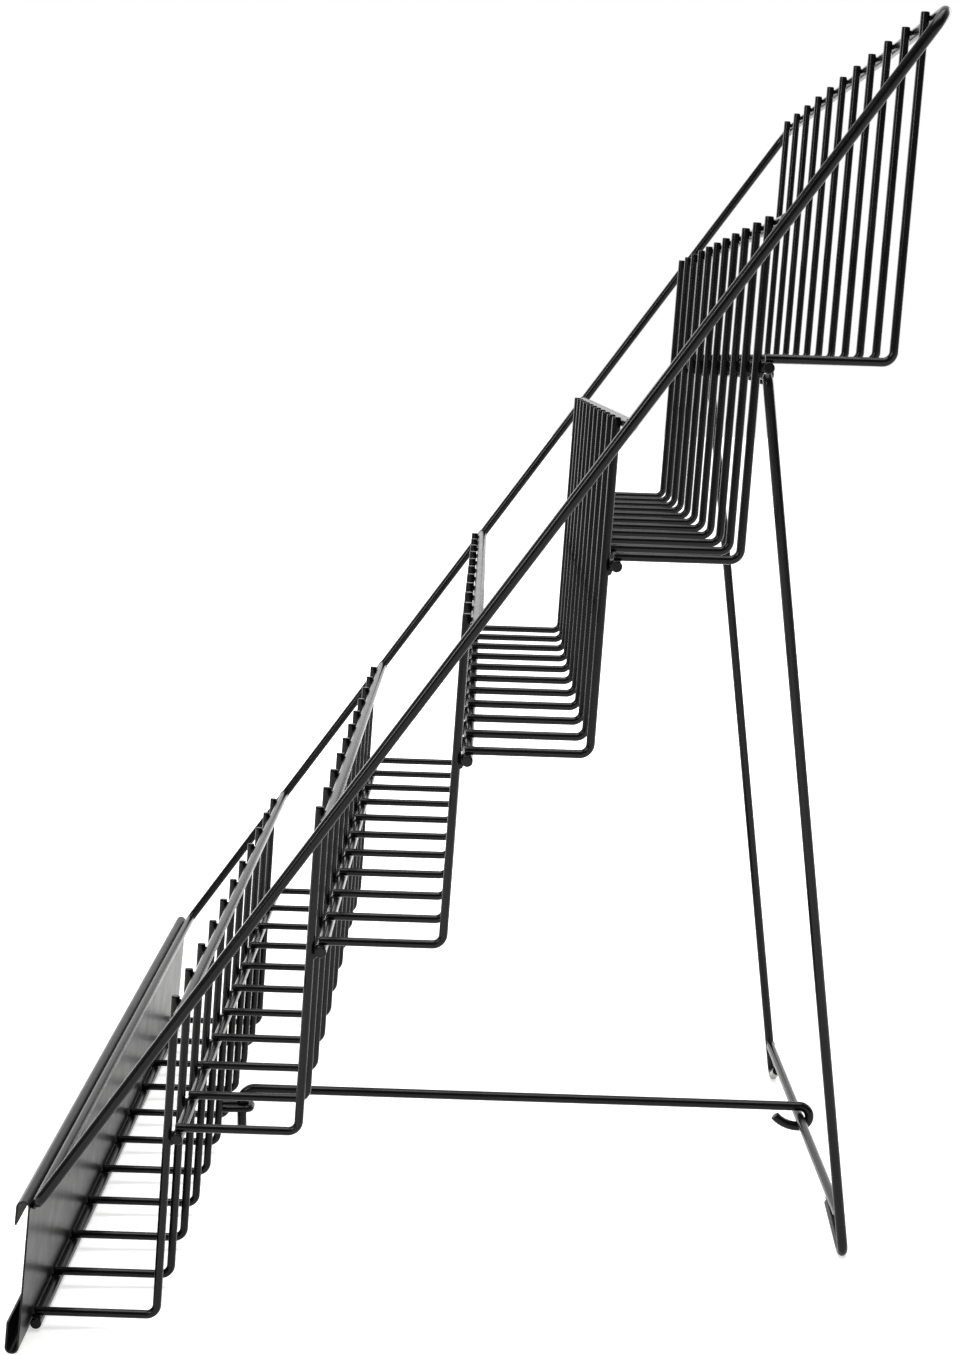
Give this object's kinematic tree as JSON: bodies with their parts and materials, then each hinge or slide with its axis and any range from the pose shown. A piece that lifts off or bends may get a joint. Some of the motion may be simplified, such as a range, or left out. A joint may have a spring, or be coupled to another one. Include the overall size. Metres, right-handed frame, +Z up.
{
  "type": "book display rack",
  "caption": "Stepped countertop rack of black coated steel wire with book pockets, a sign strip along the front and a folding rear leg held by a stay rod.",
  "frame": {"origin": "centre of the bounding box's bottom face, on the counter", "axes": "+X across the width, +Y to the back, where the leg is, +Z up"},
  "size_m": [0.5424, 0.3748, 0.5448],
  "materials": {
    "wire_paint": "satin black powder coat",
    "strip_paint": "semi-gloss black powder coat on sheet steel"
  },
  "bodies": {
    "rack": {"tier_1_mat": "wire_paint", "tier_2_mat": "wire_paint", "tier_3_mat": "wire_paint", "tier_4_mat": "wire_paint", "tier_5_mat": "wire_paint", "tier_6_mat": "wire_paint", "tier_1_top_bar": "wire_paint", "tier_2_top_bar": "wire_paint", "tier_3_top_bar": "wire_paint", "tier_4_top_bar": "wire_paint", "tier_5_top_bar": "wire_paint", "tier_6_top_bar": "wire_paint", "rail_right": "wire_paint", "rail_left": "wire_paint", "sign_strip": "strip_paint", "stay_staple": "wire_paint"},
    "leg": {"leg_right": "wire_paint", "leg_left": "wire_paint", "leg_crossbar": "wire_paint"},
    "stay": {"stay_rod": "wire_paint"}
  },
  "joints": [
    {"name": "leg_fold", "type": "hinge", "parent": "rack", "child": "leg", "pos_m": [0, 0.12116, 0.40362], "axis": [-1, 0, 0], "range_deg": [0, 36]},
    {"name": "stay_swing", "type": "hinge", "parent": "rack", "child": "stay", "pos_m": [-0.00875, -0.11184, 0.02276], "axis": [1, 0, 0], "range_deg": [0, 54]}
  ],
  "couplings": [
    {"joint": "stay_swing", "follows": "leg_fold", "ratio": 1.5}
  ]
}
